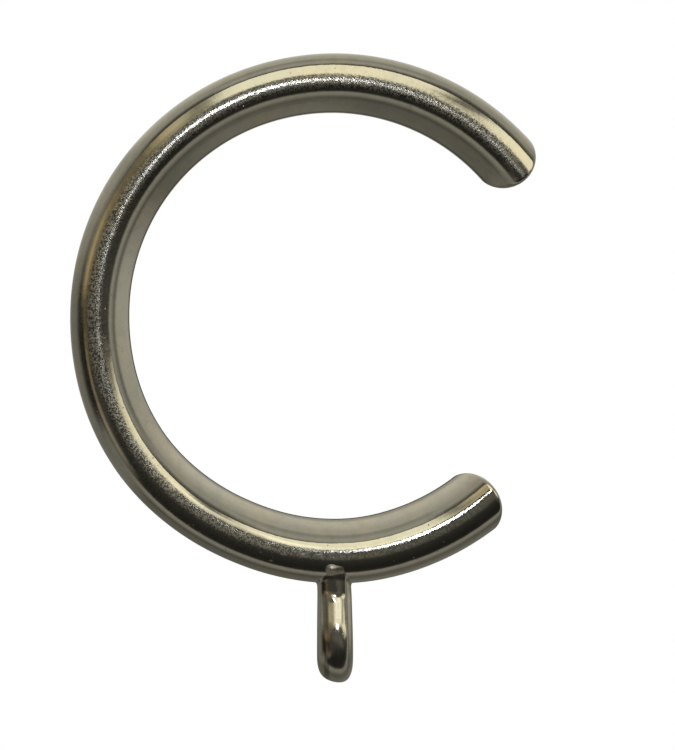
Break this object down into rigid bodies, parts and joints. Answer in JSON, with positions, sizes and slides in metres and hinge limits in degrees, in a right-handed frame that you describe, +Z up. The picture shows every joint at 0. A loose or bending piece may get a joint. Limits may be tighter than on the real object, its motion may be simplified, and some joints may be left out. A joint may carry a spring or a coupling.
{
  "type": "curtain ring",
  "caption": "Open C-shaped curtain ring bent from round metal rod with half-round ends, and a small wire eye welded underneath for the curtain's hook.",
  "frame": {"origin": "centre of the ring, on the axis of the pole it slides on", "axes": "+Z up as the ring hangs, with the eye below; +Y along the axis of the ring; the mouth of the C opens towards +X"},
  "size_m": [0.0422, 0.0104, 0.0554],
  "materials": {
    "plated_rod": "steel plated in a warm, slightly golden nickel, polished bright with a fine sparkling grain and light rubbing marks",
    "plated_eye": "the same warm nickel plate, a little smoother, with the small weld to the rod plated over"
  },
  "bodies": {
    "root": {"ring": "plated_rod", "eye": "plated_eye"}
  },
  "joints": []
}
